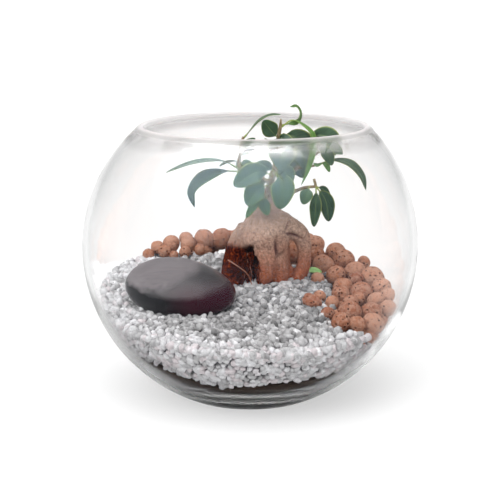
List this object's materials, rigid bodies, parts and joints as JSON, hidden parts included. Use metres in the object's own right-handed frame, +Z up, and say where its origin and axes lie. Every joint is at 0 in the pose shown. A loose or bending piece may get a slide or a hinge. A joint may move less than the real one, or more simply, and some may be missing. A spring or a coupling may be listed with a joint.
{
  "type": "glass plant terrarium",
  "caption": "Glass bubble bowl planted with a small ficus on swollen roots, in soil dressed with marble chips, clay pebbles and a river stone.",
  "frame": {"origin": "centre of the bowl's flat base, on the surface it stands on", "axes": "+Z up along the bowl's axis, -Y the front with the river stone, +X the side with the wide bed of clay pebbles"},
  "size_m": [0.25, 0.25, 0.2152],
  "materials": {
    "clear_glass": "polished",
    "potting_soil": "matte",
    "marble_chips": "matte",
    "fired_clay": "matte",
    "polished_stone": "polished",
    "bark": "matte",
    "leaf": "satin",
    "young_leaf": "satin"
  },
  "bodies": {
    "root": {"glass_bowl": "clear_glass", "soil": "potting_soil", "gravel": "marble_chips", "clay_pebbles": "fired_clay", "stray_clay_pebble": "fired_clay", "river_stone": "polished_stone", "ficus_trunk": "bark", "shoot_left": "leaf", "shoot_front": "leaf", "shoot_top": "leaf", "shoot_right": "leaf", "shoot_low_right": "leaf", "shoot_back": "leaf", "fallen_leaf": "young_leaf"}
  },
  "joints": []
}
